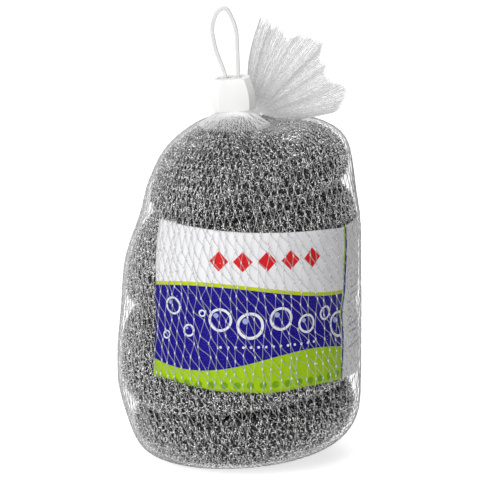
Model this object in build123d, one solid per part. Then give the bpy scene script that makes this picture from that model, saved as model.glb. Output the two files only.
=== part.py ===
from build123d import *
import math
import os

# A pack of four knitted wire pot scourers in a tubular net, with a card band round the
# middle two and a plastic clip with a hanging loop on the gathered net.
# Lengths are millimetres. +Z is up, the front of the pack faces -Y, and the origin is on
# the table under the middle of the pack.

# The net bag: its outer size, and its shape from the bottom up. Each row holds a height
# as a share of bag_height, then the reach to the left, to the right and to the front.
bag_height = 121.0
bag_width = 86.2
bag_depth = 87.2
bag_outline_shares = [
    (0.000, 0.580, 0.240, 0.470),
    (0.010, 0.696, 0.420, 0.600),
    (0.033, 0.805, 0.690, 0.780),
    (0.074, 0.877, 0.880, 0.900),
    (0.132, 0.933, 0.975, 0.970),
    (0.215, 0.990, 0.998, 0.995),
    (0.300, 1.000, 1.000, 1.000),
    (0.413, 0.978, 1.000, 0.995),
    (0.512, 0.958, 0.998, 0.985),
    (0.595, 0.926, 0.996, 0.970),
    (0.694, 0.835, 0.990, 0.940),
    (0.777, 0.772, 0.960, 0.895),
    (0.851, 0.700, 0.933, 0.845),
    (0.905, 0.616, 0.908, 0.788),
    (0.946, 0.505, 0.862, 0.706),
    (0.977, 0.385, 0.742, 0.590),
    (0.993, 0.270, 0.510, 0.420),
    (1.000, 0.180, 0.200, 0.205),
]
net_wall = 0.7

# The net's mesh: staggered rows of lozenge openings, between two shares of bag_height. The
# real mesh is finer, and its strands thinner. Each opening is cut through the wall from a
# place inside it to a place outside it, which a wall that slopes in needs.
mesh_columns = 16
mesh_rows = 4
mesh_low_share = 0.05
mesh_high_share = 0.93
strand_width = 1.5
opening_reach_in = 12.0
opening_reach_out = 9.0

# What lies inside the net stays this far from it and from its neighbours.
soft_gap = 0.35

# The four scourers, from the bottom up. They meet in sloping planes, which rise to the
# right, at these shares of bag_height on the middle line. Each rim is rounded off there.
seam_height_shares = [0.195, 0.468, 0.765]
seam_slopes_deg = [7.0, 4.0, 10.5]
top_slope_deg = 2.0
rim_round_depth = 7.0
rim_round_height = 10.5
crown_round_depth = 2.2
section_shares = [0.0, 0.02, 0.08, 0.18, 0.33, 0.5, 0.67, 0.82, 0.92, 0.98, 1.0]
dimple_radius = 9.0
dimple_depth = 2.4

# The card band, and the directions that it ends in, counted round from the front towards
# the right.
card_thickness = 0.35
card_height = 61.0
card_bottom = 29.0
card_start_deg = -47.0
card_end_deg = 160.0

# The welded knot that closes the net's lower end, tucked up into the lowest scourer.
knot_radius = 6.5
knot_height = 1.9
knot_top_radius = 4.5

# The neck of gathered net, which ends in a rounded tip that the clip rocks on.
neck_offset_x = -1.7
neck_root_radius = 5.0
neck_height = 2.8
neck_tip_radius = 1.5
neck_waist_radius = 1.2
neck_waist_drop = 1.0
rocking_gap = 0.3

# The clip leans to the left. Its strap is one closed ring: a short lower bight that the
# folded net hangs over, two legs, and a long hanging loop.
clip_lean_deg = 4.0
strap_thickness = 1.4
strap_depth = 1.6
strap_edge_round = 0.35
leg_half_spacing = 2.2
bight_centre_height = 7.0
leg_top_height = 12.8
loop_height = 37.0
loop_height_shares = [0.62, 0.82, 0.975, 1.0, 0.80]
loop_reach = 5.7
loop_reach_shares = [-0.93, -1.06, -0.62, -0.04, 0.47]
loop_ease_share = 0.45

# The folded net inside the clip: an arch over the bight, and a flat run under the
# sleeve's bottom edge to the free tail.
fold_thickness = 2.6
fold_edge_round = 0.7
fold_gap = 0.3
fold_seat_gap = 0.7
run_thickness = 2.1
run_width = 4.4
run_end_x = 8.6
run_end_y = 4.6
run_drop = 1.7

# The free tail of net above the clip: a pleated fan between two directions, counted up
# from +X.
tail_length = 32.0
tail_low_deg = 3.0
tail_high_deg = 94.0
tail_root_half_width = 2.0
tail_root_thickness = 2.0
tail_thickness = 1.2
tail_pleats = 7
tail_root_pleat = 0.2
tail_pleat_depth = 2.3
tail_back = 3.2

# The sleeve: a tapering hollow box with bevelled upright corners, open below, with a
# slot in its top for the strap's legs.
sleeve_height = 11.2
sleeve_lift = 0.8
sleeve_bottom_width = 14.6
sleeve_middle_width = 14.9
sleeve_top_width = 12.2
sleeve_bottom_depth = 10.2
sleeve_middle_depth = 10.2
sleeve_top_depth = 8.4
sleeve_wall = 1.0
sleeve_top_wall = 1.2
sleeve_bevel = 2.2
sleeve_travel = 6.5
slot_gap = 0.4

# Every cut runs past the faces that it opens by this much.
overrun = 1.0


def span(low, high, share):
    """The value at a share of the way from low to high."""
    return low + (high - low) * share


def bag_reach(height, inset):
    """Left, right and front reach of the bag's shape at a height, drawn in all round."""
    middle = bag_height / 2
    height_scale = 1 - inset / middle
    share = (middle + (height - middle) / height_scale) / bag_height
    share = min(max(share, 0), 1)
    for below, above in zip(bag_outline_shares, bag_outline_shares[1:]):
        if share <= above[0]:
            break
    part = (share - below[0]) / (above[0] - below[0])
    left, right, front = (span(b, a, part) for b, a in zip(below[1:], above[1:]))
    half_width = bag_width / 2 - inset
    half_depth = bag_depth / 2 - inset
    return left * half_width, right * half_width, front * half_depth


def ring(left, right, front, low, high):
    """An oval from (-left, low) to (right, high), as deep as front both ways."""
    middle = Vector((right - left) / 2, 0, (low + high) / 2)
    run = Vector(right + left, 0, high - low)
    across = Vector(0, 1, 0)
    plane = Plane(origin=middle, x_dir=across, z_dir=run.cross(across))
    return plane * Ellipse(front, run.length / 2)


def bag_shape(inset):
    """The bag's whole shape as one solid, drawn in all round by inset."""
    sections = []
    for height_share, _, _, _ in bag_outline_shares:
        height = inset + height_share * (bag_height - 2 * inset)
        left, right, front = bag_reach(height, inset)
        sections.append(ring(left, right, front, height, height))
    return loft(sections)


def round_off(distance, depth):
    """How far a rounded rim is drawn in at a distance from its seam."""
    if distance >= rim_round_height:
        return 0
    share = 1 - distance / rim_round_height
    return depth * (1 - math.sqrt(1 - share**2))


def scourer(low, high, low_slope, high_slope, low_round, high_round):
    """One puffy round pad between two sloping planes, filling the net from side to side."""
    inset = net_wall + 2 * soft_gap + card_thickness
    sections = []
    for share in section_shares:
        height = span(low, high, share)
        rise = math.tan(math.radians(span(low_slope, high_slope, share)))
        drawn_in = round_off((high - low) * share, low_round)
        drawn_in += round_off((high - low) * (1 - share), high_round)
        left, right, front = bag_reach(height, inset)
        for _ in range(2):
            left = bag_reach(height - left * rise, inset)[0]
            right = bag_reach(height + right * rise, inset)[1]
        left -= drawn_in
        right -= drawn_in
        front -= drawn_in
        sections.append(ring(left, right, front, height - left * rise, height + right * rise))
    return loft(sections)


def dimple(height, slope, up):
    """The drawn-in middle of a pad's face, as the ball that is cut from it."""
    ball_radius = (dimple_radius**2 + dimple_depth**2) / (2 * dimple_depth)
    lift = up * (ball_radius - dimple_depth)
    return Location((0, 0, height), (0, -slope, 0)) * Pos(0, 0, lift) * Sphere(ball_radius)


os.makedirs("parts", exist_ok=True)
nodes = {}

# The scourers, with a soft_gap at each seam and a drawn-in middle on each face.
floor_height = net_wall + soft_gap
crown_height = bag_height - net_wall - 2 * soft_gap
seams = [bag_height * share for share in seam_height_shares]
lows = [floor_height] + [seam + soft_gap / 2 for seam in seams]
highs = [seam - soft_gap / 2 for seam in seams] + [crown_height]
slopes = [0] + seam_slopes_deg + [top_slope_deg]
for number in range(len(lows)):
    first = number == 0
    last = number == len(lows) - 1
    pad = scourer(
        lows[number],
        highs[number],
        slopes[number],
        slopes[number + 1],
        0 if first else rim_round_depth,
        crown_round_depth if last else rim_round_depth,
    )
    pad -= dimple(lows[number], slopes[number], -1)
    if not last:
        pad -= dimple(highs[number], slopes[number + 1], 1)
    nodes[f"scourer_{number + 1}"] = pad

# The card band: a skin of the bag's shape, cut to its height and open at the back.
card_outside = net_wall + soft_gap
card_top = card_bottom + card_height
card = bag_shape(card_outside)
card &= Pos(0, 0, (card_bottom + card_top) / 2) * Box(2 * bag_width, 2 * bag_depth, card_height)
card -= bag_shape(card_outside + card_thickness)
missing_turn = 360 - (card_end_deg - card_start_deg)
wedge_points = [(0, 0)]
for share in [0, 0.5, 1]:
    turn = math.radians(card_end_deg + missing_turn * share)
    reach = bag_width + bag_depth
    wedge_points.append((reach * math.sin(turn), -reach * math.cos(turn)))
card -= extrude(make_face(Polyline(*wedge_points, close=True)), bag_height)
nodes["card_band"] = card

# The net bag: a thin skin over everything, with a hole in its flat bottom for the knot. Its
# upper and lower halves are hollowed in turn and joined, which cuts cleanly at any size.
net_outside = bag_shape(0)
net_inside = bag_shape(net_wall)
upper_half = Pos(0, 0, bag_height) * Box(2 * bag_width, 2 * bag_depth, bag_height)
net = ((net_outside & upper_half) - net_inside) + ((net_outside - upper_half) - net_inside)
knot_x = bag_width / 2 * (bag_outline_shares[0][2] - bag_outline_shares[0][1]) / 2
net -= Pos(knot_x, 0, 0) * Cylinder(knot_radius + soft_gap, 2 * (net_wall + overrun))
half_row = bag_height * (mesh_high_share - mesh_low_share) / (mesh_rows + 1)


def mesh_point(row, turn):
    """Where the mesh's row meets the bag's side, at a turn from the front to the right."""
    height = bag_height * mesh_low_share + half_row * (row + 1)
    left, right, front = bag_reach(height, 0)
    half_width = (left + right) / 2
    return Vector(right - half_width + half_width * math.sin(turn), -front * math.cos(turn), height)


def opening(row, column):
    """The cutter of one lozenge of the mesh, square to the bag's side."""
    turn = 2 * math.pi * (column + row % 2 / 2) / mesh_columns
    half_turn = math.pi / mesh_columns
    right_corner = mesh_point(row, turn + half_turn)
    left_corner = mesh_point(row, turn - half_turn)
    corners = [left_corner, mesh_point(row - 1, turn), right_corner, mesh_point(row + 1, turn)]
    along = right_corner - left_corner
    away = along.cross(Vector(0, 0, 1)).normalized()
    start = mesh_point(row, turn) - away * opening_reach_in
    plane = Plane(origin=start, x_dir=along, z_dir=away)
    flat = [plane.to_local_coords(corner) for corner in corners]
    middle_x = sum(corner.X for corner in flat) / len(flat)
    middle_y = sum(corner.Y for corner in flat) / len(flat)
    side = math.hypot(along.length / 2, half_row)
    shrink = 1 - strand_width * side / (along.length * half_row)
    outline = [(span(middle_x, c.X, shrink), span(middle_y, c.Y, shrink)) for c in flat]
    cutter = plane * make_face(Polyline(*outline, close=True))
    return extrude(cutter, opening_reach_in + opening_reach_out)


# Neighbouring cutters cross inside the bag, so every second row and column is cut at once.
for first_row in range(2):
    for first_column in range(2):
        net -= [
            opening(row, column)
            for row in range(first_row, mesh_rows, 2)
            for column in range(first_column, mesh_columns, 2)
        ]
nodes["net_bag"] = net

# The knot is a low button of melted net.
nodes["net_bottom_knot"] = Pos(knot_x, 0, knot_height / 2) * Cone(
    knot_radius, knot_top_radius, knot_height
)
nodes["scourer_1"] -= Pos(knot_x, 0, 0) * Cylinder(
    knot_radius + soft_gap, 2 * (knot_height + soft_gap)
)

# The neck stands on the bag's top, in front of the clip's middle by half the fold.
fold_radius = strap_depth / 2 + fold_gap + fold_thickness / 2
tip_height = bag_height + neck_height
neck_tip = Location((neck_offset_x, -fold_radius, tip_height), (0, -clip_lean_deg, 0))
waist_height = tip_height - neck_waist_drop
neck_profile = make_face(
    [
        Line((0, bag_height), (neck_root_radius, bag_height)),
        RadiusArc(
            (neck_root_radius, bag_height),
            (neck_waist_radius, waist_height),
            neck_root_radius,
        ),
        Line((neck_waist_radius, waist_height), (neck_waist_radius, tip_height)),
        Line((neck_waist_radius, tip_height), (0, tip_height)),
        Line((0, tip_height), (0, bag_height)),
    ]
)
neck = revolve(Plane.XZ * neck_profile, Axis.Z) + Pos(0, 0, tip_height) * Sphere(neck_tip_radius)
nodes["net_neck"] = Pos(neck_offset_x, -fold_radius, 0) * neck

# The strap, as one ring in the plane of the clip's middle.
bight = (leg_half_spacing, bight_centre_height)
loop_points = [
    (loop_reach * reach, loop_height * height)
    for reach, height in zip(loop_reach_shares, loop_height_shares)
]
leg_top = (leg_half_spacing, leg_top_height)
points = [(-bight[0], bight[1]), (-leg_top[0], leg_top[1])] + loop_points + [leg_top, bight]
loop_radii = []
for before, corner, after in zip(points, points[1:], points[2:]):
    run_in = Vector(*corner) - Vector(*before)
    run_out = Vector(*after) - Vector(*corner)
    half_turn = math.radians(run_in.get_angle(run_out)) / 2
    shorter = min(run_in.length, run_out.length)
    loop_radii.append(loop_ease_share * shorter / math.tan(half_turn))
strap_section = RectangleRounded(strap_depth, strap_thickness, strap_edge_round)
strap_halves = []
for half in [
    FilletPolyline(*points, radius=loop_radii),
    ThreePointArc(bight, (0, bight[1] - bight[0]), (-bight[0], bight[1])),
]:
    path = Plane.XZ * half
    start = Plane(origin=path @ 0, x_dir=(0, 1, 0), z_dir=path % 0)
    strap_halves.append(sweep(start * strap_section, path=path))
nodes["clip_strap"] = neck_tip * Pos(0, fold_radius, 0) * (strap_halves[0] + strap_halves[1])

# The fold of net goes up in front of the bight, over it and down behind it.
fold_width = 2 * (leg_half_spacing - strap_thickness / 2 - fold_gap)
seat_height = bight_centre_height - leg_half_spacing + strap_thickness / 2
arch_height = seat_height + fold_seat_gap - (fold_radius - fold_thickness / 2)
run_top = -run_drop + run_thickness
fold_path = Wire(
    [
        Line((0, 0, 0), (0, 0, arch_height)),
        ThreePointArc(
            (0, 0, arch_height),
            (0, fold_radius, arch_height + fold_radius),
            (0, 2 * fold_radius, arch_height),
        ),
        Line((0, 2 * fold_radius, arch_height), (0, 2 * fold_radius, run_top - overrun)),
    ]
)
fold = sweep(RectangleRounded(fold_width, fold_thickness, fold_edge_round), path=fold_path)
front_cut = neck_tip_radius + rocking_gap
fold -= Sphere(front_cut)
fold -= Pos(0, 0, -front_cut / 2) * Box(2 * front_cut, 2 * front_cut, 2 * front_cut)
run_start = Vector(0, 2 * fold_radius, run_top - run_thickness / 2)
run_end = Vector(run_end_x, 2 * fold_radius + run_end_y, run_start.Z)
run_line = run_end - run_start
run_turn = math.degrees(math.atan2(run_line.Y, run_line.X))
run_length = run_line.length + run_width / 2
run = Location(run_start, (0, 0, run_turn)) * Pos(run_line.length / 2 - run_width / 4, 0, 0) * Box(
    run_length, run_width, run_thickness
)
run = fillet(run.edges(), fold_edge_round)
nodes["net_fold"] = neck_tip * (fold + run)

# The tail: pleats that open from the end of the run, trimmed round at the free end.
tail_middle_deg = (tail_low_deg + tail_high_deg) / 2
tail_spread = math.tan(math.radians(tail_high_deg - tail_low_deg) / 2)
tail_start = run_end + run_line.normalized() * (run_width / 4 + 2 * soft_gap)


def pleats(half_width, depth, thickness):
    """A zigzag of arcs, half_width each way from the middle, with a back like its front."""
    steps = 2 * tail_pleats
    faces = []
    for side in [-1, 1]:
        edges = []
        for step in range(tail_pleats):
            swing = depth if step % 2 else -depth
            xs = [span(-half_width, half_width, (2 * step + i) / steps) for i in range(3)]
            lift = side * thickness / 2
            edges.append(ThreePointArc((xs[0], lift), (xs[1], lift + swing), (xs[2], lift)))
        faces.append(edges)
    front, back = faces
    ends = [
        Line((x, -thickness / 2), (x, thickness / 2)) for x in [-half_width, half_width]
    ]
    return make_face([*front, ends[1], *back, ends[0]])


tail_sections = []
for share in [0.0, 0.45, 1.0]:
    distance = tail_length * share
    place = Vector(
        distance * math.cos(math.radians(tail_middle_deg)),
        tail_back * share,
        distance * math.sin(math.radians(tail_middle_deg)),
    )
    outward = Vector(
        math.cos(math.radians(tail_middle_deg)), 0, math.sin(math.radians(tail_middle_deg))
    )
    plane = Plane(origin=place, x_dir=outward.cross(Vector(0, 1, 0)), z_dir=outward)
    section = pleats(
        tail_root_half_width + distance * tail_spread,
        span(tail_root_pleat, tail_pleat_depth, share),
        span(tail_root_thickness, tail_thickness, share),
    )
    tail_sections.append(plane * section)
tail = loft(tail_sections, ruled=True)
tail &= Rot(90, 0, 0) * Cylinder(tail_length, 4 * (tail_pleat_depth + tail_back))
nodes["net_tail"] = neck_tip * Pos(tail_start) * tail


def sleeve_shape(bottom, top, inset):
    """The sleeve's outline between two shares of its height, drawn in by inset."""
    sections = []
    for share in [0.0, 0.5, 1.0]:
        height_share = span(bottom, top, share)
        if height_share <= 0.5:
            part = 2 * height_share
            width = span(sleeve_bottom_width, sleeve_middle_width, part)
            depth = span(sleeve_bottom_depth, sleeve_middle_depth, part)
        else:
            part = 2 * height_share - 1
            width = span(sleeve_middle_width, sleeve_top_width, part)
            depth = span(sleeve_middle_depth, sleeve_top_depth, part)
        outline = Rectangle(width - 2 * inset, depth - 2 * inset)
        outline = chamfer(outline.vertices(), sleeve_bevel - inset / 2)
        sections.append(Pos(0, 0, height_share * sleeve_height) * outline)
    return loft(sections)


def leg_reach(low_point, high_point, height):
    """How far across a straight leg of the strap stands at a height."""
    share = (height - low_point[1]) / (high_point[1] - low_point[1])
    return span(low_point[0], high_point[0], share)


# The slot clears both legs at the top of the sleeve's travel, where they stand apart most.
ceiling_share = 1 - sleeve_top_wall / sleeve_height
sleeve = sleeve_shape(0.0, 1.0, 0) - sleeve_shape(0.0, ceiling_share, sleeve_wall)
raised_top = sleeve_lift + sleeve_height + sleeve_travel
slot_side = strap_thickness / 2 + slot_gap
slot_left = leg_reach((-leg_top[0], leg_top[1]), loop_points[0], raised_top) - slot_side
slot_right = leg_reach(leg_top, loop_points[-1], raised_top) + slot_side
sleeve -= Pos((slot_left + slot_right) / 2, 0, sleeve_height) * Box(
    slot_right - slot_left, strap_depth + 2 * slot_gap, 2 * (sleeve_top_wall + overrun)
)
nodes["clip_sleeve"] = neck_tip * Pos(0, fold_radius, sleeve_lift) * sleeve

for name, shape in nodes.items():
    shape.label = name
    export_step(shape, f"parts/{name}.step")
    print(name, len(shape.solids()), round(shape.volume, 1))
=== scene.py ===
import math

import bpy
import numpy as np
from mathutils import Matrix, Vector
from mathutils.bvhtree import BVHTree


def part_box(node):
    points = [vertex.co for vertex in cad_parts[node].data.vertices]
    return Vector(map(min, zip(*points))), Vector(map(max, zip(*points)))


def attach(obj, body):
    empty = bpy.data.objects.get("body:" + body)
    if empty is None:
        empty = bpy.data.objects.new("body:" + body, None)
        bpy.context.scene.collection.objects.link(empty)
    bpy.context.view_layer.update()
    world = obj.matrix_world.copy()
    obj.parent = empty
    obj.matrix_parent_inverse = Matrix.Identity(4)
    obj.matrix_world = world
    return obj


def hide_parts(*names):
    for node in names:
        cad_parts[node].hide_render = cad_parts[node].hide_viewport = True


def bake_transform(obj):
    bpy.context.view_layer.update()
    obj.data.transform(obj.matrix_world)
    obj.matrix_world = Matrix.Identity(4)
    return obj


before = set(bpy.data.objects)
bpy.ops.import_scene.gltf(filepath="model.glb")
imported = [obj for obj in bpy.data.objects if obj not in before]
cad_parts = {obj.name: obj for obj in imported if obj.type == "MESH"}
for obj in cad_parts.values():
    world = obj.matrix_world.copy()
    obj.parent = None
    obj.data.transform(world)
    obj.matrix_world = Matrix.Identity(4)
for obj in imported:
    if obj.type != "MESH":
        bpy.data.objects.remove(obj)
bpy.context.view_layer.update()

# The place for the photograph: a white paper floor, two soft boxes, an open white room and
# a black card that darkens the right side. The camera looks down a little from the front.
scene = bpy.context.scene
scene.view_settings.view_transform = "Standard"

camera_rise = math.radians(13.0)
camera_distance = 2.2
camera_aim = Vector((0.0002, 0, 0.0775))
camera_data = bpy.data.cameras.new("camera")
camera_data.lens = 470.0
camera_data.sensor_width = 36
camera_data.clip_end = 20
camera = bpy.data.objects.new("camera", camera_data)
away = Vector((0, -math.cos(camera_rise), math.sin(camera_rise)))
camera.location = camera_aim + away * camera_distance
camera.rotation_euler = (-away).to_track_quat("-Z", "Y").to_euler()
scene.collection.objects.link(camera)
scene.camera = camera


class Socket:
    """A node's output that Python's own arithmetic works on."""

    def __init__(self, bench, node, output):
        self.bench = bench
        self.node = node
        self.socket = node.outputs[output] if node.outputs else None

    def out(self, output):
        return Socket(self.bench, self.node, output)

    def math(self, operation, *values):
        values = dict(enumerate(values))
        return self.bench.make("ShaderNodeMath", {"operation": operation}, values)

    def __add__(self, other):
        return self.math("ADD", self, other)

    def __sub__(self, other):
        return self.math("SUBTRACT", self, other)

    def __mul__(self, other):
        return self.math("MULTIPLY", self, other)

    def __truediv__(self, other):
        return self.math("DIVIDE", self, other)

    def __radd__(self, other):
        return self.math("ADD", other, self)

    def __rsub__(self, other):
        return self.math("SUBTRACT", other, self)

    def __rmul__(self, other):
        return self.math("MULTIPLY", other, self)

    def __lt__(self, other):
        return self.math("LESS_THAN", self, other)

    def __gt__(self, other):
        return self.math("GREATER_THAN", self, other)

    def sine(self):
        return self.math("SINE", self)

    def cosine(self):
        return self.math("COSINE", self)

    def most(self, other):
        return self.math("MAXIMUM", self, other)


class Bench:
    """Puts nodes into one tree: a node's type, its settings, then its sockets."""

    def __init__(self, tree):
        self.tree = tree

    def make(self, kind, settings=None, sockets=None, output=0):
        node = self.tree.nodes.new(kind)
        for name, value in (settings or {}).items():
            if name == "stops":
                ramp = node.color_ramp
                while len(ramp.elements) < len(value):
                    ramp.elements.new(1.0)
                for element, (position, colour) in zip(ramp.elements, value):
                    element.position = position
                    element.color = (*colour, 1.0)
            else:
                setattr(node, name, value)
        for name, value in (sockets or {}).items():
            if isinstance(value, Socket):
                self.tree.links.new(value.socket, node.inputs[name])
            else:
                node.inputs[name].default_value = value
        return Socket(self, node, output)


def finish_of(name):
    """A new material, and the bench for its empty tree."""
    material = bpy.data.materials.new(name)
    material.use_nodes = True
    material.node_tree.nodes.clear()
    return material, Bench(material.node_tree)


def lay(bench, shader):
    """Puts a shader on the surface."""
    bench.make("ShaderNodeOutputMaterial", None, {"Surface": shader})


room = bpy.data.worlds.new("room")
room.use_nodes = True
room.node_tree.nodes.clear()
bench = Bench(room.node_tree)
ray = bench.make("ShaderNodeLightPath")
seen = ray.out("Is Camera Ray").most(ray.out("Is Glossy Ray")).most(ray.out("Is Transmission Ray"))
room_level = 0.41
white_room = bench.make(
    "ShaderNodeBackground", None, {"Color": (1, 1, 1, 1), "Strength": room_level + seen * (1 - room_level)}
)
bench.make("ShaderNodeOutputWorld", None, {"Surface": white_room})
scene.world = room


def board_of(name, corners, finish):
    """A flat board of the studio, which is no part of the pack."""
    mesh = bpy.data.meshes.new(name)
    mesh.from_pydata(corners, [], [(0, 1, 2, 3)])
    mesh.materials.append(finish)
    board = bpy.data.objects.new(name, mesh)
    scene.collection.objects.link(board)
    return board


paper, bench = finish_of("floor_paper")
ray = bench.make("ShaderNodeLightPath")
sheet = bench.make("ShaderNodeBsdfDiffuse", None, {"Color": (0.86, 0.86, 0.86, 1)})
lift = bench.make("ShaderNodeEmission", None, {"Color": (1, 1, 1, 1), "Strength": 0.70})
both = bench.make("ShaderNodeAddShader", None, {0: sheet, 1: lift})
seen = ray.out("Is Camera Ray").most(ray.out("Is Glossy Ray"))
lay(bench, bench.make("ShaderNodeMixShader", None, {0: seen, 1: sheet, 2: both}))
half_floor = 2.0
floor_corners = [(x * half_floor, y * half_floor, 0) for x, y in [(-1, -1), (1, -1), (1, 1), (-1, 1)]]
board_of("floor", floor_corners, paper)

felt, bench = finish_of("flag_felt")
lay(bench, bench.make("ShaderNodeBsdfDiffuse", None, {"Color": (0.06, 0.06, 0.06, 1)}))
flag_x = 0.5
flag_corners = [(flag_x, -0.25, 0.7), (flag_x, 1.0, 0.7), (flag_x, 1.0, 0.0), (flag_x, -0.25, 0.0)]
flag = board_of("flag", flag_corners, felt)
flag.visible_camera = False

box_size = 0.7
for name, place, watts in [
    ("key_box", (-0.52, -0.88, 0.65), 8.4),
    ("top_box", (0.15, 0.1, 1.1), 3.0),
]:
    lamp_data = bpy.data.lights.new(name, "AREA")
    lamp_data.size = box_size
    lamp_data.energy = watts
    lamp = bpy.data.objects.new(name, lamp_data)
    lamp.location = place
    lamp.rotation_euler = (camera_aim - Vector(place)).to_track_quat("-Z", "Y").to_euler()
    scene.collection.objects.link(lamp)

# The four scourers: tubes knitted from flat steel wire, each rolled into a puffy pad and
# stacked one on another. The ribs of the knit run from the top middle over the rim to the
# bottom middle, and one pad is one piece of knitting.


def skin_of(node, top, bottom, facing=0.0, columns=180, rows=260):
    """A CAD node's outside as a table: round it, and from its top point to its bottom. Over
    an opening, the table runs straight on from what stands beside it."""
    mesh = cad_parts[node].data
    tree = BVHTree.FromPolygons([v.co for v in mesh.vertices], [p.vertices for p in mesh.polygons])
    top, bottom = Vector(top), Vector(bottom)
    middle = (top + bottom) / 2
    low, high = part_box(node)
    reach = max(high - low)
    spread = max(high.x - low.x, high.y - low.y) / 2
    rays = np.zeros((columns, rows, 3))
    distance = np.full((columns, rows), np.nan)
    for column in range(columns):
        turn = 2 * math.pi * column / columns
        side = Vector((math.sin(turn), -math.cos(turn), 0)) * spread
        for row in range(rows):
            dip = math.pi * row / (rows - 1)
            pole = (top if dip < math.pi / 2 else bottom) - middle
            away = (side * math.sin(dip) + pole * abs(math.cos(dip))).normalized()
            hit, normal = tree.ray_cast(middle + away * reach, -away, reach)[:2]
            rays[column, row] = away
            if hit is not None and normal.dot(away) > facing:
                distance[column, row] = (hit - middle).length
    for row in range(rows):
        known = np.flatnonzero(np.isfinite(distance[:, row]))
        if len(known):
            distance[:, row] = np.interp(range(columns), known, distance[known, row], period=columns)
        else:
            distance[:, row] = distance[:, row - 1]
    places = np.array(middle) + rays * distance[..., None]
    table = np.zeros_like(places)
    for column, line in enumerate(places):
        steps = np.linalg.norm(np.diff(line, axis=0), axis=1)
        along = np.concatenate([[0], np.cumsum(steps)])
        even = np.linspace(0, along[-1], rows)
        table[column] = np.stack([np.interp(even, along, line[:, i]) for i in range(3)], axis=1)
    return table


def on_skin(table, around, down):
    """Points at shares of a turn round a skin's table and shares of the way down it."""
    columns, rows = table.shape[:2]
    x = (np.asarray(around, float) % 1.0) * columns
    y = np.clip(np.asarray(down, float), 0, 1) * (rows - 1)
    x0 = np.floor(x).astype(int) % columns
    x1 = (x0 + 1) % columns
    y0 = np.minimum(np.floor(y).astype(int), rows - 2)
    fx = (x - np.floor(x))[..., None]
    fy = (y - y0)[..., None]
    low = table[x0, y0] * (1 - fx) + table[x1, y0] * fx
    high = table[x0, y0 + 1] * (1 - fx) + table[x1, y0 + 1] * fx
    return low * (1 - fy) + high * fy


def outward(table, around, down, step=0.008):
    """The unit direction away from a skin, and the one along it towards its top."""
    across = on_skin(table, around + step, down) - on_skin(table, around - step, down)
    up = on_skin(table, around, down - step) - on_skin(table, around, down + step)
    normal = np.cross(across, up)
    normal /= np.maximum(np.linalg.norm(normal, axis=-1, keepdims=True), 1e-12)
    up /= np.maximum(np.linalg.norm(up, axis=-1, keepdims=True), 1e-12)
    return normal, up


def mesh_of(name, points, edges=(), faces=(), **attributes):
    """A mesh object with named numbers or vectors at its points."""
    mesh = bpy.data.meshes.new(name)
    mesh.from_pydata([tuple(p) for p in points], list(edges), list(faces))
    for key, values in attributes.items():
        values = np.asarray(values, np.float32)
        kind = "FLOAT_VECTOR" if values.ndim == 2 else "FLOAT"
        field = mesh.attributes.new(key, kind, "POINT")
        field.data.foreach_set("vector" if values.ndim == 2 else "value", values.ravel())
    made = bpy.data.objects.new(name, mesh)
    scene.collection.objects.link(made)
    return made


def tree_of(name, inputs):
    """An empty geometry tree with the named inputs, as its bench and its input sockets."""
    tree = bpy.data.node_groups.new(name, "GeometryNodeTree")
    tree.interface.new_socket("Geometry", in_out="INPUT", socket_type="NodeSocketGeometry")
    for key, kind in inputs.items():
        tree.interface.new_socket(key, in_out="INPUT", socket_type="NodeSocket" + kind)
    tree.interface.new_socket("Geometry", in_out="OUTPUT", socket_type="NodeSocketGeometry")
    bench = Bench(tree)
    given = bench.make("NodeGroupInput", output="Geometry")
    return bench, given


def grown(base, tree, values):
    """Runs a geometry tree on an object with the named values and keeps a plain mesh."""
    modifier = base.modifiers.new(tree.name, "NODES")
    modifier.node_group = tree
    for item in tree.interface.items_tree:
        if item.item_type == "SOCKET" and item.in_out == "INPUT" and item.name in values:
            modifier[item.identifier] = values[item.name]
    bpy.context.view_layer.update()
    result = base.evaluated_get(bpy.context.evaluated_depsgraph_get())
    mesh = bpy.data.meshes.new_from_object(result)
    base.modifiers.clear()
    old = base.data
    base.data = mesh
    bpy.data.meshes.remove(old)
    mesh.name = base.name
    return base


def field(bench, key, kind="FLOAT"):
    """A named number or vector of the points, inside a geometry tree."""
    return bench.make("GeometryNodeInputNamedAttribute", {"data_type": kind}, {"Name": key})


def facing_of(bench):
    """The turn that stands a shape on the skin, with its own top towards the skin's."""
    axes = {"primary_axis": "Z", "secondary_axis": "Y"}
    ways = {0: field(bench, "out", "FLOAT_VECTOR"), 1: field(bench, "up", "FLOAT_VECTOR")}
    return bench.make("FunctionNodeAxesToRotation", axes, ways)


def marked(bench, shapes, key, value):
    """Shapes still to be joined, each with a named number that its material reads."""
    settings = {"data_type": "FLOAT", "domain": "INSTANCE"}
    sockets = {"Geometry": shapes, "Name": key, "Value": value}
    return bench.make("GeometryNodeStoreNamedAttribute", settings, sockets)


def painted(bench, shapes, finish):
    """Shapes with a material."""
    return bench.make("GeometryNodeSetMaterial", None, {"Geometry": shapes, "Material": finish})


def noise(bench, where, scale, detail, roughness=0.5):
    """A noise over a place, from 0 to 1."""
    sockets = {"Vector": where, "Scale": scale, "Detail": detail, "Roughness": roughness}
    return bench.make("ShaderNodeTexNoise", None, sockets)


def bumped(bench, strength, distance, height):
    """A surface's direction, tilted by a height."""
    sockets = {"Strength": strength, "Distance": distance, "Height": height}
    return bench.make("ShaderNodeBump", None, sockets)


def cover(bench, sockets):
    """Puts the common shader with these values on the surface."""
    lay(bench, bench.make("ShaderNodeBsdfPrincipled", None, sockets))


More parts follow.
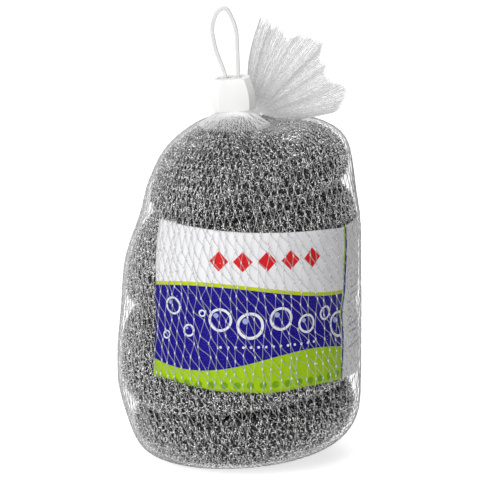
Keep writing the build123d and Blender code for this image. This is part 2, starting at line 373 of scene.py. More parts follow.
# The knitting tree: one stitch is an omega of flat wire, set on every point of the pad
# that has a size, over a dark inner skin of the same points, which is painted shade.
bench, given = tree_of(
    "knitting",
    {
        "Stitch width": "Float",
        "Stitch height": "Float",
        "Stitch depth": "Float",
        "Neck": "Float",
        "Wire width": "Float",
        "Wire thickness": "Float",
        "Skin depth": "Float",
        "Unevenness": "Float",
        "Seed": "Int",
        "Wire": "Material",
        "Inside": "Material",
    },
)
knitting = bench.tree
line = bench.make("GeometryNodeCurvePrimitiveLine", None, {"Start": (0, 0, 0), "End": (1, 0, 0)})
line = bench.make("GeometryNodeResampleCurve", None, {"Curve": line, "Count": 9})
t = (bench.make("GeometryNodeSplineParameter", output="Factor") - 0.5) * (2 * math.pi)
stitch_x = (t / (2 * math.pi) + (t * 2).sine() * given.out("Neck")) * given.out("Stitch width")
stitch_y = t.cosine() * given.out("Stitch height") * 0.5
stitch_z = (t * 2).cosine() * given.out("Stitch depth")
place = bench.make("ShaderNodeCombineXYZ", None, {0: stitch_x, 1: stitch_y, 2: stitch_z})
line = bench.make("GeometryNodeSetPosition", None, {"Geometry": line, "Position": place})
line = bench.make(
    "GeometryNodeSetCurveNormal", {"mode": "FREE"}, {"Curve": line, "Normal": (0, 0, 1)}
)
width, thickness = given.out("Wire width"), given.out("Wire thickness")
flat_wire = bench.make(
    "GeometryNodeCurvePrimitiveQuadrilateral",
    {"mode": "KITE"},
    {"Width": width, "Bottom Height": thickness, "Top Height": thickness * 0.3},
)
stitch = bench.make(
    "GeometryNodeCurveToMesh", None, {"Curve": line, "Profile Curve": flat_wire, "Fill Caps": True}
)
wobble = given.out("Unevenness")
swing = bench.make("ShaderNodeCombineXYZ", None, {0: wobble, 1: wobble * 1.3, 2: wobble * 0.7})
back_swing = bench.make("ShaderNodeVectorMath", {"operation": "SCALE"}, {0: swing, "Scale": -1.0})
turn = bench.make(
    "FunctionNodeRandomValue",
    {"data_type": "FLOAT_VECTOR"},
    {0: back_swing, 1: swing, "Seed": given.out("Seed")},
)
facing = bench.make(
    "FunctionNodeRotateRotation",
    {"rotation_space": "LOCAL"},
    {"Rotation": facing_of(bench), "Rotate By": turn},
)
size = field(bench, "size")
stitches = bench.make(
    "GeometryNodeInstanceOnPoints",
    None,
    {
        "Points": given,
        "Selection": size > 0.01,
        "Instance": stitch,
        "Rotation": facing,
        "Scale": bench.make("ShaderNodeCombineXYZ", None, {0: size, 1: field(bench, "tall"), 2: 1.0}),
    },
)
# Each stitch's random number for its painted sheen: the wire's colour makes a whole stitch lighter or
# darker, as if it caught more or less light.
shine = bench.make(
    "FunctionNodeRandomValue", {"data_type": "FLOAT"}, {"Seed": given.out("Seed") + 1}, 1
)
stitches = marked(bench, stitches, "shine", shine)
stitches = bench.make("GeometryNodeRealizeInstances", None, {"Geometry": stitches})
stitches = painted(bench, stitches, given.out("Wire"))
sink = bench.make(
    "ShaderNodeVectorMath",
    {"operation": "SCALE"},
    {0: field(bench, "out", "FLOAT_VECTOR"), "Scale": given.out("Skin depth") * -1.0},
)
inside = bench.make("GeometryNodeSetPosition", None, {"Geometry": given, "Offset": sink})
inside = painted(bench, inside, given.out("Inside"))
join = bench.make("GeometryNodeJoinGeometry", None, {0: inside})
bench.tree.links.new(stitches.socket, join.node.inputs[0])
bench.make("NodeGroupOutput", None, {"Geometry": join})

# The wire's colour is painted light and shade: a ramp from near-black painted shade to white painted
# glints, driven by fine noise along the wire, bigger sparks of painted glint and each stitch's painted
# sheen. The fine noise also varies the roughness.
wire, bench = finish_of("knitted_wire")
where = bench.make("ShaderNodeTexCoord", output="Object")
painted_facet_light_and_roughness = noise(bench, where, 1900.0, 1.0, 0.6)
painted_sparks = noise(bench, where, 1150.0, 0.0)
shine = bench.make("ShaderNodeAttribute", {"attribute_name": "shine"}, None, "Fac")
painted_glint = painted_facet_light_and_roughness * 1.9 + shine * 0.24 - 0.485 + (painted_sparks - 0.585).most(0.0) * 7.0
tint = bench.make(
    "ShaderNodeValToRGB",
    {
        "stops": [
            (0.36, (0.03, 0.03, 0.031)),
            (0.58, (0.19, 0.19, 0.19)),
            (0.68, (0.62, 0.62, 0.62)),
            (0.75, (1.0, 1.0, 0.99)),
        ]
    },
    {"Fac": painted_glint},
)
drawn = noise(bench, where, 5200.0, 2.0)
bump = bumped(bench, 0.35, 0.00008, drawn)
cover(bench, {"Base Color": tint, "Metallic": 1.0, "Roughness": 0.16 + painted_facet_light_and_roughness * 0.2, "Normal": bump})

# The inner skin's colour is painted shade: near-black where the knit's inner layers lie in shade, with
# faint lines for their wires.
painted_shade_skin, bench = finish_of("knitting_inside_painted_shade")
where = bench.make("ShaderNodeTexCoord", output="Object")
tangle = bench.make(
    "ShaderNodeTexVoronoi", {"feature": "DISTANCE_TO_EDGE"}, {"Vector": where, "Scale": 900.0}
)
lines = bench.make(
    "ShaderNodeMapRange", None, {"Value": tangle, "From Max": 0.16, "To Min": 1.0, "To Max": 0.0}
)
blot = noise(bench, where, 420.0, 2.0)
tint = bench.make(
    "ShaderNodeMix",
    {"data_type": "RGBA"},
    {0: lines * blot, 6: (0.012, 0.012, 0.012, 1), 7: (0.17, 0.17, 0.17, 1)},
    2,
)
bump = bumped(bench, 0.8, 0.0004, lines)
cover(bench, {"Base Color": tint, "Metallic": 0.6, "Roughness": 0.5, "Normal": bump})

mm = 0.001
rib_pitch = 1.8 * mm
course_pitch = 1.45 * mm
ribs = 148
fewest_ribs = 12
closest_ribs = 0.7
ring_steps = 72
covered = 26 * mm
wire_sink = 0.35 * mm
dice = np.random.default_rng(11)


def pad_points(table, hidden_top, hidden_bottom):
    """The stitches' places on a pad in rows from its top to its bottom, with its skin. Next to
    another pad, the hidden middle has no stitches."""
    length = np.linalg.norm(np.diff(table, axis=1), axis=2).sum(1).mean()
    courses = int(length / course_pitch)
    points, normals, ups, sizes, talls, faces, starts = [], [], [], [], [], [], []
    for course in range(1, courses):
        down = course / courses
        ring = np.linspace(0, 1, ring_steps, endpoint=False)
        ring = on_skin(table, ring, np.full(ring_steps, down))
        girth = np.linalg.norm(ring - np.roll(ring, 1, axis=0), axis=1).sum()
        count = ribs
        while girth / count < closest_ribs * rib_pitch and count > fewest_ribs:
            count //= 2
        around = (np.arange(count) + 0.5) / count
        swirl = 0.8 * np.sin(0.23 * course + 4 * math.pi * around)
        around = around + (dice.normal(0, 0.2, count) + swirl + course % 2 / 2) / count
        drop = np.full(count, down) + dice.normal(0, 0.34, count) / courses
        place = on_skin(table, around, drop)
        normal, up = outward(table, around, drop)
        shown = down * length >= hidden_top and (1 - down) * length >= hidden_bottom
        starts.append((len(points), count))
        points.extend(place)
        normals.extend(normal)
        ups.extend(up)
        scale = girth / count / rib_pitch if shown else 0.0
        sizes.extend([scale] * count)
        talls.extend(1 + 0.3 * np.sin(6 * math.pi * around + 0.31 * course) + dice.normal(0, 0.1, count))
    for (a, many), (b, few) in zip(starts, starts[1:]):
        flip = many < few
        if flip:
            (a, many), (b, few) = (b, few), (a, many)
        ratio = many // few
        for i in range(few):
            b0, b1 = b + i, b + (i + 1) % few
            ring = [a + (i * ratio + k) % many for k in range(ratio + 1)]
            if ratio == 1:
                corners = [(ring[0], b0, b1, ring[1])]
            else:
                corners = [(ring[k], b0, ring[k + 1]) for k in range(ratio // 2 + 1)]
                corners += [(ring[k], b1, ring[k + 1]) for k in range(ratio // 2 + 1, ratio)]
                corners.append((ring[ratio // 2 + 1], b0, b1))
            faces.extend(c[::-1] if flip else c for c in corners)
    for end, order in ((starts[0], 1), (starts[-1], -1)):
        ring = list(range(end[0], end[0] + end[1]))
        points.append(np.mean([points[i] for i in ring], axis=0))
        normals.append(np.mean([normals[i] for i in ring], axis=0))
        ups.append(ups[ring[0]])
        sizes.append(0.0)
        talls.append(1.0)
        pole = len(points) - 1
        for i, j in zip(ring, ring[1:] + ring[:1]):
            faces.append((i, j, pole)[::order])
    return np.array(points), faces, np.array(normals), np.array(ups), np.array(sizes), np.array(talls)


for number in (1, 2, 3, 4):
    name = f"scourer_{number}"
    low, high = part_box(name)
    middle = (low + high) / 2
    thick = (high.z - low.z) / 2
    table = skin_of(name, (middle.x, 0, middle.z + thick), (middle.x, 0, middle.z - thick))
    points, faces, normals, ups, sizes, talls = pad_points(
        table, 0.0 if number == 4 else covered, 0.0 if number == 1 else covered
    )
    base = mesh_of(
        name, points - normals * wire_sink, (), faces, out=normals, up=ups, size=sizes, tall=talls
    )
    pad = grown(
        base,
        knitting,
        {
            "Stitch width": rib_pitch,
            "Stitch height": 1.75 * mm,
            "Stitch depth": 0.33 * mm,
            "Neck": 0.20,
            "Wire width": 0.42 * mm,
            "Wire thickness": 0.14 * mm,
            "Skin depth": 0.8 * mm,
            "Unevenness": 0.65,
            "Seed": number,
            "Wire": wire,
            "Inside": painted_shade_skin,
        },
    )
    pad.name = name + "_knitting"
    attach(pad, "bag")
    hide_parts(name)

# The card band: one strip of coated white card wrapped round the middle pads, printed on
# its front panel and plain on its side and back. The net holds it, and nothing is glued.
card_low, card_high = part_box("card_band")
card_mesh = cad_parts["card_band"].data
card_tree = BVHTree.FromPolygons(
    [v.co for v in card_mesh.vertices], [p.vertices for p in card_mesh.polygons]
)
# Its edges as the photo shows them, at turns in degrees from straight ahead: how far they
# stand in from the CAD band's, and where the card's left end is at some heights.
card_turns = np.linspace(-46.8, 159.8, 168)
card_shares = np.linspace(0, 1, 49)
foot_turns = [-47, -37, -29, -20, -12, 0, 13, 20, 32, 44, 55, 77, 160]
foot_rises = [7.3, 7.0, 6.2, 5.4, 4.5, 4.2, 3.6, 3.7, 4.4, 4.5, 4.0, 3.3, 2.5]
head_turns = [-47, -20, 0, 20, 44, 60, 160]
head_drops = [0.0, 0.3, 0.9, 1.2, 2.1, 3.3, 2.0]
end_heights = [36, 45, 58, 63, 66, 77, 83, 91]
end_places = [30.2, 29.5, 29.8, 29.7, 29.1, 29.1, 28.7, 27.7]
waist_height = 56.5 * mm
board_thickness = 0.35 * mm


def card_surface(turn, height):
    """The card's distance from the pack's axis."""
    away = Vector((math.sin(turn), -math.cos(turn), 0))
    inset_height = min(max(height, card_low.z + 0.1 * mm), card_high.z - 0.1 * mm)
    start = away * 0.1 + Vector((0, 0, inset_height))
    return card_tree.ray_cast(start, -away)[0].xy.length


points, print_places = [], []
for flat_turn in card_turns:
    foot_height = card_low.z + np.interp(flat_turn, foot_turns, foot_rises) * mm
    head_height = card_high.z - np.interp(flat_turn, head_turns, head_drops) * mm
    for height in foot_height + (head_height - foot_height) * card_shares:
        first_turn = math.radians(card_turns[0])
        end_place = np.interp(height / mm, end_heights, end_places) * mm
        cut_turn = -math.asin(end_place / card_surface(first_turn, height))
        from_end = (flat_turn - card_turns[0]) / (card_turns[-1] - card_turns[0])
        turn = math.radians(flat_turn) + (cut_turn - first_turn) * (1 - from_end) ** 8
        away = Vector((math.sin(turn), -math.cos(turn), 0))
        hit = away * card_surface(max(turn, first_turn), height)
        waist = 0.9 * mm * math.exp(-(((height - waist_height) / (6 * mm)) ** 2))
        edge = min(height - card_low.z, card_high.z - height) / (5 * mm)
        flare = 0.25 * mm * max(0.0, 1 - edge) * math.sin(9 * turn + 60 * height)
        ripple = 0.12 * mm * math.sin(23 * turn + 170 * height) * math.sin(11 * turn - 140 * height)
        sink = waist + 0.1 * mm - flare - ripple
        points.append(Vector((hit.x, hit.y, height)) - away * sink)
        print_places.append((turn - first_turn, height - card_low.z))
rows = len(card_shares)
faces = []
for column in range(len(card_turns) - 1):
    for row in range(rows - 1):
        a = column * rows + row
        faces.append((a, a + rows, a + rows + 1, a + 1))
grid = np.array(points).reshape(len(card_turns), rows, 3)
card_length = np.linalg.norm(np.diff(grid[:, rows // 2], axis=0), axis=1).sum()
card_reach = card_length / math.radians(card_turns[-1] - card_turns[0])
card = mesh_of("card_band_printed", points, (), faces)
layer = card.data.uv_layers.new(name="print")
for loop in card.data.loops:
    turn, height = print_places[loop.vertex_index]
    layer.data[loop.index].uv = (turn * card_reach, height)
card.data.shade_smooth()
board = card.modifiers.new("board", "SOLIDIFY")
board.thickness = board_thickness
board.offset = -1

printed, bench = finish_of("printed_card")
place = bench.make("ShaderNodeUVMap", {"uv_map": "print"})
split = bench.make("ShaderNodeSeparateXYZ", None, {0: place})
u, v = split / mm, split.out("Y") / mm


def mix(under, over, mask):
    """One colour over another where a mask says so. Each is a socket or three numbers."""
    bench = mask.bench
    under = under if isinstance(under, Socket) else (*under, 1)
    over = over if isinstance(over, Socket) else (*over, 1)
    return bench.make("ShaderNodeMix", {"data_type": "RGBA"}, {0: mask, 6: under, 7: over}, 2)


def disc(u, v, x, y, radius):
    """A mask that is 1 inside a circle."""
    return ((u - x) * (u - x) + (v - y) * (v - y)) < radius * radius


def hoop(u, v, x, y, radius, line):
    """A mask that is 1 on a ring."""
    return disc(u, v, x, y, radius) - disc(u, v, x, y, radius - line)


def slab(u, low, high):
    """A mask that is 1 between two limits."""
    return (u > low) * (u < high)


def repeat(u, pitch):
    """A place that starts again at 0 after each pitch."""
    return u.math("WRAP", u, pitch, 0.0)


white = (0.84, 0.84, 0.86)
lime = (0.36, 0.58, 0.0)
line_green = (0.52, 0.62, 0.0)
blue = (0.006, 0.0, 0.225)
red = (0.66, 0.010, 0.014)
pale_blue = (0.35, 0.42, 0.72)
dark_green = (0.16, 0.36, 0.0)
ruled_grey = (0.30, 0.31, 0.42)
fibre_grey = (0.72, 0.72, 0.73)
fold_turn = 62.0
front_share = (fold_turn - card_turns[0]) / (card_turns[-1] - card_turns[0])
panel_end = card_length / mm * front_share + (v - 60) * 0.078
crest = 39.0 + (u * 0.052 + 0.4).sine() * 3.4
foot = 14.5 + (u * 0.075 + 3.4).sine() * 3.2
colour = mix(white, blue, v < crest)
colour = mix(colour, line_green, slab(v - crest, -1.3, 0.0))
colour = mix(colour, lime, v < foot)
aside = repeat(u - 22.0, 8.6) - 4.3
rise = v - 50.0
lozenges = (aside.math("ABSOLUTE", aside) + rise.math("ABSOLUTE", rise)) < 3.5
colour = mix(colour, red, lozenges * slab(u, 22.0, 65.0))
for x, y, radius, line in [
    (9, 33, 3.2, 0.7), (15.5, 25, 2.2, 0.6), (20.5, 31.5, 1.3, 0.5), (27, 29.5, 4.2, 0.9),
    (37.5, 27.5, 4.8, 1.0), (48.5, 29.5, 4.2, 0.9), (58.5, 26.8, 3.4, 0.8), (67, 29.2, 2.6, 0.7),
    (74, 24, 4.6, 0.9), (79, 32.5, 1.8, 0.5), (6.5, 22.5, 1.5, 0.5),
]:
    colour = mix(colour, white, hoop(u, v, x, y, radius, line))
    gleam = disc(u, v, x - radius * 0.35, y + radius * 0.35, radius * 0.22)
    colour = mix(colour, pale_blue, gleam)
dots = disc(repeat(u, 2.6), v, 1.3, 20.0, 0.45) * slab(u, 26.0, 62.0)
colour = mix(colour, white, dots)
dots = disc(repeat(u, 4.4), v, 2.2, 6.5, 1.25) * slab(u, 8.0, 76.0)
colour = mix(colour, dark_green, dots * (v < foot))
colour = mix(colour, white, u > panel_end)
colour = mix(colour, lime, slab(u, panel_end, panel_end + 0.8))
colour = mix(colour, blue, slab(u, panel_end + 0.8, panel_end + 2.0))
patchy = noise(bench, place, 260.0, 1.0)
lines = slab(repeat(v, 2.6), 0.8, 1.5) * slab(v, 12.0, 40.0)
lines = lines * slab(u, panel_end + 6.0, panel_end + 30.0)
colour = mix(colour, ruled_grey, lines * (patchy > 0.47))
fibre = noise(bench, place, 2500.0, 3.0)
colour = mix(colour, fibre_grey, (fibre - 0.5).most(0.0) * 0.35)
bump = bumped(bench, 0.15, 0.0001, fibre)
sheen = 0.34 + fibre * 0.12
cover(bench, {"Base Color": colour, "Roughness": sheen, "Specular IOR Level": 0.08, "Normal": bump})
card.data.materials.append(printed)
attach(card, "bag")
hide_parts("card_band")

# The net bag: one tube of clear white plastic net, whose crossing strands are welded where
# they meet. It is stretched over the pads, and gathered above them and below them.
bench, given = tree_of(
    "netting",
    {
        "Strand radius": "Float",
        "Weld width": "Float",
        "Weld length": "Float",
        "Sides": "Int",
        "Plastic": "Material",
    },
)
netting = bench.tree
strands = bench.make("GeometryNodeMeshToCurve", None, {"Mesh": given})
round_strand = bench.make(
    "GeometryNodeCurvePrimitiveCircle",
    {"mode": "RADIUS"},
    {"Resolution": given.out("Sides"), "Radius": given.out("Strand radius")},
)
strands = bench.make(
    "GeometryNodeCurveToMesh",
    None,
    {"Curve": strands, "Profile Curve": round_strand, "Scale": field(bench, "thick"), "Fill Caps": True},
)
bead = bench.make("GeometryNodeMeshIcoSphere", None, {"Radius": 1.0, "Subdivisions": 1})
weld_size = bench.make(
    "ShaderNodeCombineXYZ",
    None,
    {0: given.out("Weld width"), 1: given.out("Weld length"), 2: given.out("Weld width") * 0.8},
)
weld_size = bench.make(
    "ShaderNodeVectorMath", {"operation": "SCALE"}, {0: weld_size, "Scale": field(bench, "weld")}
)
welds = bench.make(
    "GeometryNodeInstanceOnPoints",
    None,
    {
        "Points": given,
        "Selection": field(bench, "weld") > 0.01,
        "Instance": bead,
        "Rotation": facing_of(bench),
        "Scale": weld_size,
    },
)
welds = marked(bench, welds, "bead", 1.0)
join = bench.make("GeometryNodeJoinGeometry", None, {0: strands})
bench.tree.links.new(welds.socket, join.node.inputs[0])
whole = bench.make("GeometryNodeRealizeInstances", None, {"Geometry": join})
bench.make("NodeGroupOutput", None, {"Geometry": painted(bench, whole, given.out("Plastic"))})


def clear_plastic(name, deep, bright, body, bead_body, painted_glow_level):
    """The net's plastic: its two tints, how much of what is behind a strand it hides, and a
    painted glow, an emission that stands in for the light that crowded strands pass on to one another."""
    material, bench = finish_of(name)
    where = bench.make("ShaderNodeTexCoord", output="Object")
    cloud = noise(bench, where, 240.0, 2.0)
    bead = bench.make("ShaderNodeAttribute", {"attribute_name": "bead"}, None, "Fac")
    packed = bench.make("ShaderNodeAttribute", {"attribute_name": "packed"}, None, "Fac")
    tint = mix((deep,) * 3, (bright,) * 3, cloud.most(bead))
    bump = bumped(bench, 0.3, 0.0001, cloud)
    cover(
        bench,
        {
            "Base Color": tint,
            "Roughness": 0.28 + cloud * 0.15,
            "Normal": bump,
            "Specular IOR Level": 0.5,
            "Alpha": body + bead * (bead_body - body),
            # The painted glow: the strands give off light, though they are no lamp.
            "Emission Color": mix((0, 0, 0), (1, 1, 1), packed * painted_glow_level),
            "Emission Strength": 1.0,
        },
    )
    return material


# The bag's copy of the net plastic, without glow. The neck's, fold's and tail's copies below differ from
# it by painted light.
plastic = clear_plastic("clear_net", 0.52, 0.76, 0.38, 0.88, 0.0)

cells = 84
half_rows = 38
steps = 3
thin_rows = 9
sink_depth = 0.25 * mm
neck_x = -1.7 * mm
neck_y = -2.4 * mm
net_top = Vector((neck_x, neck_y, 121 * mm))
knot_low, knot_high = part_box("net_bottom_knot")
knot_middle = (knot_low + knot_high) / 2
net_table = skin_of("net_bag", net_top, (knot_middle.x, 0, 0.6 * mm), 0.6)
net_length = np.linalg.norm(np.diff(net_table, axis=1), axis=2).sum(1).mean()
net_from = 11.0 * mm / net_length
net_to = 1 - 5.6 * mm / net_length


def twisted(row):
    """How many cells the net is turned by at a half row: none at the top, then steadily."""
    start = 10.0
    ease = 2.0
    over = np.maximum(row - start, 0.0)
    return 0.5 * over * over / (over + ease)


sway = dice.normal(0, 0.13, (cells, half_rows + 1))
drift = dice.normal(0, 0.16, (cells, half_rows + 1))


def eased(values, ease):
    """Values at the welds, filled in between them."""
    between = values[:-1, None] + np.outer(np.diff(values), ease)
    return np.append(between, values[-1])


def net_strands(slant):
    """Points, edges, thicknesses, the welds' sizes and directions of the strands that lean
    one way. They are thinner towards the net's gathered ends."""
    points, edges, thick, weld, outs, ups = [], [], [], [], [], []
    share = np.arange(0, steps) / steps
    ease = (share + share * share * (3 - 2 * share)) / 2
    for strand in range(cells):
        rows = np.arange(half_rows + 1)
        home = (strand - rows) % cells if slant < 0 else np.full(len(rows), strand)
        around = strand + slant * rows / 2 + twisted(rows) + sway[home, rows]
        fine_down = eased(rows + drift[home, rows], share)
        turn = eased(around, ease) / cells
        fall = net_from + (net_to - net_from) * fine_down / half_rows
        normal, up = outward(net_table, turn, fall)
        place = on_skin(net_table, turn, fall) - normal * sink_depth
        first = len(points)
        points.extend(place)
        edges.extend((first + i, first + i + 1) for i in range(len(place) - 1))
        at_weld = np.arange(len(place)) % steps == 0
        from_end = np.minimum(fine_down, half_rows - fine_down) / thin_rows
        thin = 0.42 + 0.58 * np.clip(from_end, 0, 1)
        thick.extend(np.where(at_weld, 1.2, 1.0) * thin * (1.1 if slant > 0 else 0.85))
        weld.extend(np.where(at_weld, thin, 0.0) if slant > 0 else np.zeros(len(place)))
        outs.extend(normal)
        ups.extend(up)
    return points, edges, thick, weld, outs, ups


def netted(name, families, radius, weld_width, weld_length, finish, packed=None):
    """One netting object from several families of strands, its sizes in millimetres."""
    points, edges, rest = [], [], [[], [], [], []]
    for family in families:
        edges.extend((a + len(points), b + len(points)) for a, b in family[1])
        points.extend(family[0])
        for kept, more in zip(rest, family[2:]):
            kept.extend(more)
    thick, weld, outs, ups = rest
    packed = np.zeros(len(points)) if packed is None else packed
    base = mesh_of(name, points, edges, (), thick=thick, weld=weld, out=outs, up=ups, packed=packed)
    values = {
        "Strand radius": radius * mm,
        "Weld width": weld_width * mm,
        "Weld length": weld_length * mm,
        "Sides": 3,
        "Plastic": finish,
    }
    return grown(base, netting, values)


families = [net_strands(slant) for slant in (1, -1)]
bag = netted("net_bag_netting", families, 0.155, 0.28, 0.66, plastic)
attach(bag, "bag")
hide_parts("net_bag")

# The melted knot below: the tube's lower end, gathered, welded into a low ridged button
# and tucked up into the bottom pad. It is the net's own plastic.
ridges = 22
ridge_depth = 0.35 * mm
around, levels = 132, 9
knot_radius = (knot_high.x - knot_low.x) / 2
knot_rise = knot_high.z - knot_low.z
points, faces = [], []
for level in range(levels):
    share = level / (levels - 1)
    belly = knot_radius * (1 - 0.30 * share ** 2.2)
    for step in range(around):
        turn = 2 * math.pi * step / around
        ridge = ridge_depth * abs(math.sin(ridges * turn / 2 + 0.5 * math.sin(3 * turn)))
        radius = belly - ridge * (1 - 0.5 * share)
        points.append(
            (
                knot_middle.x + radius * math.sin(turn),
                radius * math.cos(turn),
                knot_low.z + knot_rise * share * (1 - 0.04 * math.sin(5 * turn)),
            )
        )
for level in range(levels - 1):
    for step in range(around):
        a = level * around + step
        b = level * around + (step + 1) % around
        faces.append((b, a, a + around, b + around))
for level, order in ((0, 1), (levels - 1, -1)):
    height = knot_low.z + 0.5 * mm if level == 0 else knot_high.z - 0.3 * mm
    points.append((knot_middle.x, 0, height))
    pole = len(points) - 1
    for step in range(around):
        rim = (level * around + step, level * around + (step + 1) % around, pole)
        faces.append(rim[::order])
knot = mesh_of("net_bottom_knot_melted", points, (), faces)
knot.data.shade_smooth()
knot.data.materials.append(plastic)
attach(knot, "bag")
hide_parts("net_bottom_knot")

# The neck: all the net's strands drawn together on top of the pack and led up into the
# clip. It is the same tube of net.
tip = Vector((neck_x, neck_y, 123.8 * mm))
neck_profile = [
    (12.5, 119.4), (10.5, 120.9), (8.8, 122.2), (7.3, 123.2),
    (5.6, 123.8), (3.2, 124.2), (1.5, 124.6), (1.3, 125.2),
]
neck_slant = 0.5
neck_crowding = 0.45
neck_unevenness = 0.12 * mm
radii = np.array([r for r, _ in neck_profile]) * mm
levels = np.array([z for _, z in neck_profile]) * mm
fine = np.linspace(0, len(radii) - 1, 19)
points, edges, thick, outs, ups = [], [], [], [], []
for strand in range(2 * cells):
    turn = 2 * math.pi * (strand + dice.normal(0, 0.3)) / (2 * cells)
    slant = neck_slant if strand % 2 else -neck_slant
    squeeze = 1 - neck_crowding * dice.random()
    first = len(points)
    for step, at in enumerate(fine):
        share = step / (len(fine) - 1)
        radius = np.interp(at, range(len(radii)), radii)
        radius *= 1 - (1 - squeeze) * min(1, share * 1.6)
        height = np.interp(at, range(len(radii)), levels)
        height += neck_unevenness * dice.normal() * (1 - share)
        angle = turn + slant * share
        away = Vector((math.sin(angle), -math.cos(angle), 0))
        points.append(Vector((tip.x, tip.y, height)) + away * radius)
        thick.append(1.0)
        outs.append(away)
        ups.append((0, 0, 1))
    edges.extend((i, i + 1) for i in range(first, len(points) - 1))
family = (points, edges, thick, [0.0] * len(points), outs, ups)
# The neck's plastic is a lighter copy of the net's, with a painted glow that lifts the shade among its
# crowded strands: painted light.
gathered = clear_plastic("clear_net_gathered_painted_light", 0.94, 1.0, 0.52, 0.5, 0.3)
neck_painted_glow = np.tile(np.linspace(0.2, 1, len(fine)), 2 * cells)
neck = netted("net_neck_gathered", [family], 0.11, 0.2, 0.2, gathered, neck_painted_glow)
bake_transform(neck)
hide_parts("net_neck")

# The fold: the gathered net goes up in front of the strap's lower bight, over it, down
# behind it and out below the sleeve's back. The sleeve jams it on the strap.
lean = math.radians(-4.0)
lean_x = Vector((math.cos(lean), 0, -math.sin(lean)))
lean_z = Vector((math.sin(lean), 0, math.cos(lean)))


def in_clip(x, y, z):
    """A point of the leaning clip, in millimetres from the neck's tip, in the pack's frame."""
    return tip + (lean_x * x + Vector((0, 1, 0)) * y + lean_z * z) * mm


arch_height, arch_radius = 5.1, 2.4
fold_end = (8.15, 10.3, -2.35)
fold_strands = 110
fold_half_width, fold_half_depth = 1.3 * mm, 0.95 * mm
fold_line = [(0, 0, z) for z in (0.9, 2.2, 3.6)]
for turn in range(0, 181, 15):
    swing = math.radians(turn)
    fold_line.append(
        (0, arch_radius * (1 - math.cos(swing)), arch_height + arch_radius * math.sin(swing))
    )
fold_line += [(0, 4.8, 3.4), (0.05, 4.85, 1.8), (0.35, 5.0, 0.5), (1.3, 5.5, -0.35), (3.0, 6.4, -0.62)]
fold_line += [(4.6, 7.7, -0.95), (5.9, 8.8, -1.4), (7.1, 9.6, -1.9), fold_end]
fold_line = np.array([in_clip(*p) for p in fold_line])
travel = np.gradient(fold_line, axis=0)
travel /= np.linalg.norm(travel, axis=1, keepdims=True)
wide = np.array(lean_x)[None, :] - travel * (travel @ np.array(lean_x))[:, None]
sideways = np.array([0.0, 1.0, 0.0])[None, :] - travel * travel[:, 1:2]
flat_run = np.clip((np.arange(len(travel)) - 17) / 3, 0, 1)[:, None]
wide = wide * (1 - flat_run) + sideways * flat_run
wide /= np.linalg.norm(wide, axis=1, keepdims=True)
deep = np.cross(wide, travel)
points, edges, thick, outs, ups = [], [], [], [], []
for strand in range(fold_strands):
    turn, reach = 2 * math.pi * dice.random(), math.sqrt(dice.random())
    across, through = reach * math.cos(turn) * fold_half_width, reach * math.sin(turn) * fold_half_depth
    wander = dice.normal(0, 0.10 * mm, (len(fold_line), 2))
    first = len(points)
    for step in range(len(fold_line)):
        spread = 1 + 0.35 * flat_run[step, 0]
        place = fold_line[step] + wide[step] * (across * spread + wander[step, 0])
        points.append(place + deep[step] * (through + wander[step, 1]))
        thick.append(1.0)
        outs.append(deep[step])
        ups.append(travel[step])
    edges.extend((i, i + 1) for i in range(first, len(points) - 1))
family = (points, edges, thick, [0.0] * len(points), outs, ups)
# The fold's and the tail's plastic is a copy of the net's with a painted glow: painted light that lifts
# the shade among their bunched strands.
bunched = clear_plastic("clear_net_bunched_painted_light", 0.58, 0.68, 0.40, 0.6, 0.27)
fold = netted("net_fold_strands", [family], 0.15, 0.2, 0.2, bunched, np.ones(len(points)))
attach(fold, "clip")
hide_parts("net_fold")

# The tail: the free end of the tube above the clip, pressed flat and fanned out in loose
# pleats, with its cut strands fraying along the outer edge.
tail_root = np.array(in_clip(*fold_end))
tail_edge = np.array(
    [
        (0.4, 30.6), (1.0, 33.4), (2.3, 31.2), (3.2, 32.0), (4.5, 31.2), (4.6, 28.4),
        (6.8, 29.8), (8.8, 27.4), (9.9, 25.4), (12.6, 25.8), (14.5, 26.9), (16.4, 25.4),
        (19.0, 25.6), (22.5, 23.3), (21.9, 20.6), (21.9, 17.6), (23.9, 16.4), (23.3, 14.0),
        (24.7, 11.2), (27.8, 9.2), (30.8, 7.9), (30.5, 4.0), (27.4, -0.8), (18.0, -2.2),
    ]
)
edge_run = np.concatenate([[0], np.cumsum(np.linalg.norm(np.diff(tail_edge, axis=0), axis=1))])
edge_run /= edge_run[-1]
tail_pleats = 8.5
tail_steps = 22
tail_strands = 140
long_share = 0.03
thick_share = 0.3
weld_share = 0.3
least_painted_glow = 0.62


def tail_point(share, reach, layer):
    """A point of the tail's fan: a share from its left edge to its right, and of its length."""
    end = np.array([np.interp(share, edge_run, tail_edge[:, i]) for i in range(2)])
    bulge = -6.0 * max(0.0, 1 - share * 2.4) + 4.5 * max(0.0, share * 2.0 - 1)
    side = np.array([end[1], -end[0]]) / max(np.hypot(*end), 1e-9)
    begin = np.array([(share - 0.5) * 3.4, 0.5 - 1.2 * share])
    control = begin * 0.5 + end * 0.45 + side * bulge
    place = begin * (1 - reach) ** 2 + control * 2 * reach * (1 - reach) + end * reach**2
    pleat = math.sin(2 * math.pi * tail_pleats * share + 0.9 * math.sin(5 * share) + layer * 0.3)
    back = 3.0 * reach + pleat * (0.2 + 0.2 * reach) + layer * (0.25 + 0.3 * reach)
    return tail_root + np.array([place[0], back, place[1]]) * mm


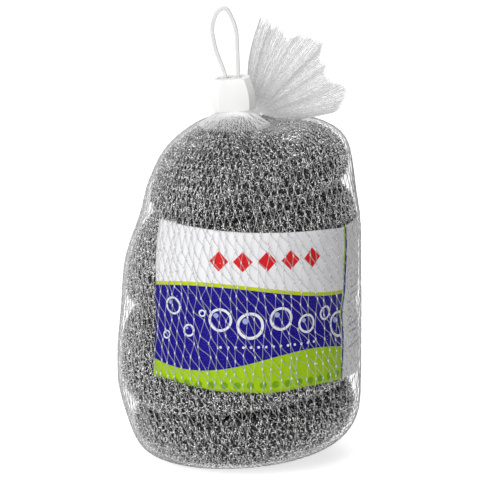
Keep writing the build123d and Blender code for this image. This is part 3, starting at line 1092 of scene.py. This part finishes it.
points, edges, thick, weld, outs, ups, packed = [], [], [], [], [], [], []
for layer in (-1, 1):
    for slant in (-1, 1):
        tufts = np.repeat(dice.normal(0, 0.016, tail_strands // 4), 4)
        for strand in range(tail_strands):
            share = (strand + 0.5 + dice.normal(0, 0.25)) / tail_strands
            frayed = 0.99 + tufts[strand] + dice.normal(0, 0.004)
            if dice.random() < long_share:
                frayed += 0.04 * dice.random()
            first = len(points)
            for step in range(tail_steps + 1):
                reach = frayed * (step / tail_steps) ** 0.9
                at = min(max(share + slant * (0.05 * reach - 0.025), 0.0), 1.0)
                place = tail_point(at, reach, layer)
                place = place + dice.normal(0, 0.05 * mm, 3) * min(1.0, 3 * reach)
                points.append(place)
                heavy = 0.4 if dice.random() < thick_share else 0.0
                thick.append((0.8 + heavy) * min(1.0, 0.45 + 2 * reach))
                weld.append(1.0 if slant > 0 and step > 2 and dice.random() < weld_share else 0.0)
                outs.append((0, -1, 0))
                ups.append(place - tail_root)
                # Each point's share of the painted glow: full at the tail's root, where the strands crowd,
                # and falling to a floor along the tail.
                packed.append(max(least_painted_glow, 1 - reach / 0.45))
            edges.extend((i, i + 1) for i in range(first, len(points) - 1))
family = (points, edges, thick, weld, outs, ups)
tail = netted("net_tail_fan", [family], 0.105, 0.16, 0.36, bunched, packed)
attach(tail, "clip")
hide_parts("net_tail")

# The clip's strap and sleeve are moulded in white polythene, a little translucent and
# waxy. The sleeve slides down the strap's legs and stays by friction.
for name, thin, full in [
    ("clip_strap", (0.70, 0.70, 0.69), (0.78, 0.78, 0.77)),
    ("clip_sleeve", (0.88, 0.88, 0.87), (0.95, 0.95, 0.94)),
]:
    moulded, bench = finish_of(name + "_plastic")
    where = bench.make("ShaderNodeTexCoord", output="Object")
    flow = noise(bench, where, 150.0, 3.0)
    grain = noise(bench, where, 2200.0, 3.0)
    scuffs = noise(bench, where, 700.0, 5.0, 0.7)
    bump = bumped(bench, 0.12, 0.0001, grain + scuffs * 0.6)
    cover(
        bench,
        {
            "Base Color": mix(thin, full, flow),
            "Roughness": 0.30 + scuffs * 0.18,
            "Normal": bump,
            "Subsurface Weight": 0.25,
            "Subsurface Radius": (1, 1, 1),
            "Subsurface Scale": 0.0015,
        },
    )
    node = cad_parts[name]
    node.data.materials.clear()
    node.data.materials.append(moulded)
